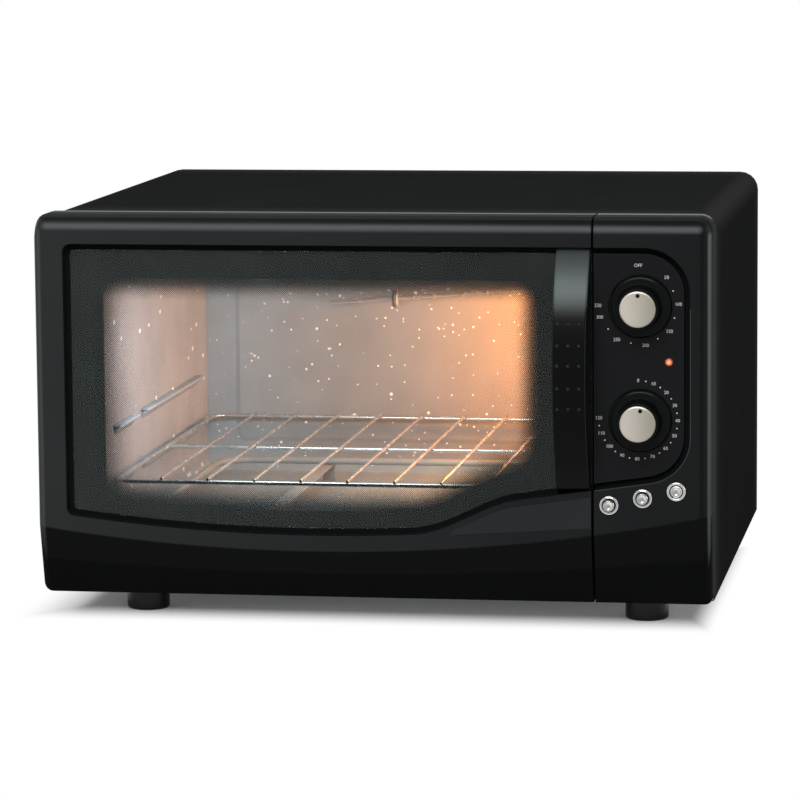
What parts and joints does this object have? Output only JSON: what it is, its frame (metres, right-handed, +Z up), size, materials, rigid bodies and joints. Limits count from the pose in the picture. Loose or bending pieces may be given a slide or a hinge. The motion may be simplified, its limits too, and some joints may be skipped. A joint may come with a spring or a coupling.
{
  "type": "electric countertop oven",
  "caption": "Countertop electric oven: side-hung glass door with a bowed handle and a swept lower edge, dial and push-button panel at the right, wire rack inside.",
  "frame": {"origin": "middle of the bounding box at the bottom, on the surface that the feet stand on", "axes": "+Z up; the front faces -Y; +X to the viewer's right, towards the control panel"},
  "size_m": [0.58, 0.565, 0.362],
  "materials": {
    "charcoal_moulding": "fine satin, dark charcoal",
    "black_paint": "satin black paint on sheet steel",
    "black_plastic": "glossy black",
    "dark_glass": "polished, dotted black border",
    "enamel": "dark grey enamel with pale specks",
    "zinc_steel": "zinc-coated sheet",
    "bright_wire": "bright nickel-plated wire",
    "heater_tube": "dark oxidised tube",
    "knob_metal": "spun, warm champagne silver",
    "chrome": "polished",
    "mineral_wool": "pressed mineral fibre",
    "silicone": "matt",
    "amber_lens": "clear amber",
    "lamp_glass": "clear, polished",
    "porcelain": "unglazed white",
    "switch_plastic": "natural moulded plastic",
    "copper": "bare copper tube"
  },
  "bodies": {
    "body": {"outer_casing": "black_paint", "front_flange": "black_paint", "bottom_panel": "zinc_steel", "rear_panel": "zinc_steel", "partition": "zinc_steel", "cavity": "enamel", "insulation_wrap": "mineral_wool", "insulation_back": "mineral_wool", "door_gasket": "silicone", "hinge_bracket_top": "zinc_steel", "hinge_bracket_bottom": "zinc_steel", "hinge_pin_top": "zinc_steel", "hinge_pin_bottom": "zinc_steel", "door_catch": "black_plastic", "control_panel": "charcoal_moulding", "control_bracket": "zinc_steel", "thermostat_body": "switch_plastic", "timer_body": "switch_plastic", "pilot_lens": "amber_lens", "pilot_lamp": "switch_plastic", "bezel_1": "chrome", "bezel_2": "chrome", "bezel_3": "chrome", "switch_1": "switch_plastic", "switch_2": "switch_plastic", "switch_3": "switch_plastic", "terminal_block": "porcelain", "cable_gland": "black_plastic", "heater_lower": "heater_tube", "heater_upper": "heater_tube", "heater_support_lower": "zinc_steel", "heater_support_upper": "zinc_steel", "lamp_glass": "lamp_glass", "lamp_bulb": "lamp_glass", "lamp_holder": "porcelain", "thermostat_bulb": "bright_wire", "bulb_clip": "zinc_steel", "capillary": "copper", "foot_front_left": "black_plastic", "foot_front_right": "black_plastic", "foot_rear_left": "black_plastic", "foot_rear_right": "black_plastic"},
    "door": {"door_frame": "charcoal_moulding", "door_glass": "dark_glass", "door_inner_glass": "lamp_glass", "door_inner_panel": "black_paint", "door_handle": "black_plastic", "door_striker": "zinc_steel"},
    "temperature_dial": {"temperature_knob": "black_plastic", "temperature_knob_cap": "knob_metal", "temperature_shaft": "zinc_steel"},
    "timer_dial": {"timer_knob": "black_plastic", "timer_knob_cap": "knob_metal", "timer_shaft": "zinc_steel"},
    "button_one": {"button_1": "chrome"},
    "button_two": {"button_2": "chrome"},
    "button_three": {"button_3": "chrome"},
    "rack": {"wire_rack": "bright_wire"}
  },
  "joints": [
    {"name": "door_hinge", "type": "hinge", "parent": "body", "child": "door", "pos_m": [-0.281, -0.2225, 0.198], "axis": [0, 0, -1], "range_deg": [0, 110]},
    {"name": "temperature_turn", "type": "hinge", "parent": "body", "child": "temperature_dial", "pos_m": [0.23, -0.2461, 0.2875], "axis": [0, 1, 0], "range_deg": [0, 270]},
    {"name": "timer_turn", "type": "hinge", "parent": "body", "child": "timer_dial", "pos_m": [0.23, -0.2461, 0.1914], "axis": [0, 1, 0], "range_deg": [-11.7, 260.3]},
    {"name": "button_one_press", "type": "slide", "parent": "body", "child": "button_one", "axis": [0, 1, 0], "range_m": [0, 0.003], "stiffness_N_per_m": 250},
    {"name": "button_two_press", "type": "slide", "parent": "body", "child": "button_two", "axis": [0, 1, 0], "range_m": [0, 0.003], "stiffness_N_per_m": 250},
    {"name": "button_three_press", "type": "slide", "parent": "body", "child": "button_three", "axis": [0, 1, 0], "range_m": [-0.003, 0]},
    {"name": "rack_slide", "type": "slide", "parent": "body", "child": "rack", "axis": [0, -1, 0], "range_m": [0, 0.125]}
  ],
  "couplings": [
    {"joint": "rack_slide", "follows": "door_hinge", "m_per_rad": 0.065}
  ]
}
